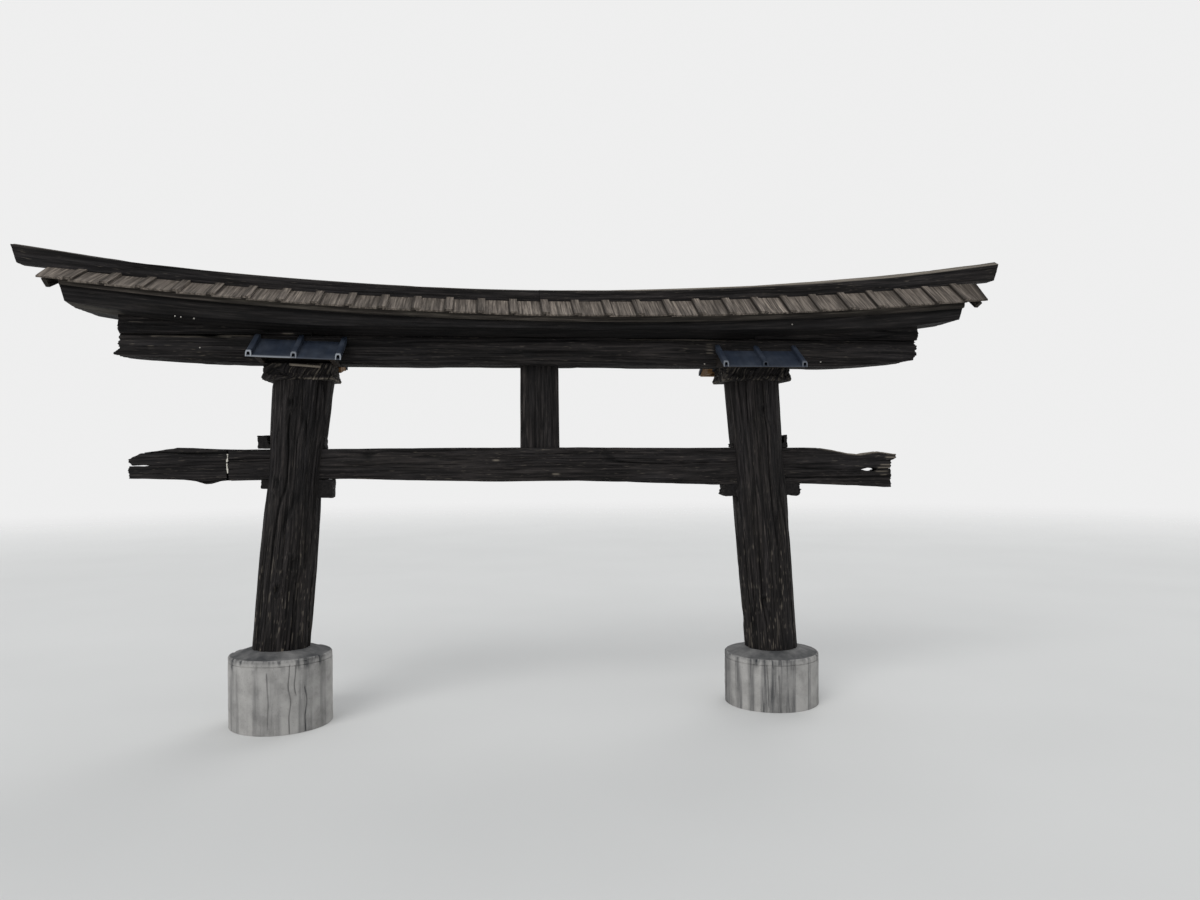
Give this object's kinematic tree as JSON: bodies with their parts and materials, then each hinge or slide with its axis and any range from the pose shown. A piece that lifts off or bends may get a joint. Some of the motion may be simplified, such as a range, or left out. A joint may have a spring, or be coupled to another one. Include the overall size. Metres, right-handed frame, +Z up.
{
  "type": "torii gate",
  "caption": "Weathered timber torii gate with a boarded, curved roof on its double lintel, round pillars on concrete plinths and small metal hoods.",
  "frame": {"origin": "on the ground, midway along the ridge and under the gate's middle plane", "axes": "+X along the gate to the viewer's right, -Y towards the viewer in front, +Z up"},
  "size_m": [6.06, 0.636, 2.829],
  "materials": {
    "old_timber": "weathered",
    "roof_wood": "weathered",
    "new_wood": "matte",
    "hood_metal": "satin",
    "concrete": "weathered"
  },
  "bodies": {
    "root": {"barge_board_front_left": "roof_wood", "barge_board_front_right": "roof_wood", "barge_board_rear_left": "roof_wood", "barge_board_rear_right": "roof_wood", "cap_block_left": "old_timber", "cap_block_right": "old_timber", "cap_lath_left": "new_wood", "centre_strut": "old_timber", "fascia_front": "roof_wood", "fascia_rear": "roof_wood", "filler_left": "old_timber", "filler_right": "old_timber", "hood_frame_front_left": "new_wood", "hood_frame_front_right": "new_wood", "hood_frame_rear_left": "new_wood", "hood_frame_rear_right": "new_wood", "hood_seams_front_left": "hood_metal", "hood_seams_front_right": "hood_metal", "hood_seams_rear_left": "hood_metal", "hood_seams_rear_right": "hood_metal", "hood_sheet_front_left": "hood_metal", "hood_sheet_front_right": "hood_metal", "hood_sheet_rear_left": "hood_metal", "hood_sheet_rear_right": "hood_metal", "lower_lintel": "old_timber", "packing_left": "old_timber", "packing_right": "old_timber", "pillar_left": "old_timber", "pillar_right": "old_timber", "plinth_left": "concrete", "plinth_right": "concrete", "ridge_left": "old_timber", "ridge_right": "old_timber", "roof_slope_front": "roof_wood", "roof_slope_rear": "roof_wood", "tie_beam": "old_timber", "tie_beam_left_end": "old_timber", "upper_lintel": "old_timber", "wedge_upper_left_inner": "old_timber", "wedge_upper_left_outer": "old_timber", "wedge_upper_right_inner": "old_timber", "wedge_upper_right_outer": "old_timber"}
  },
  "joints": []
}
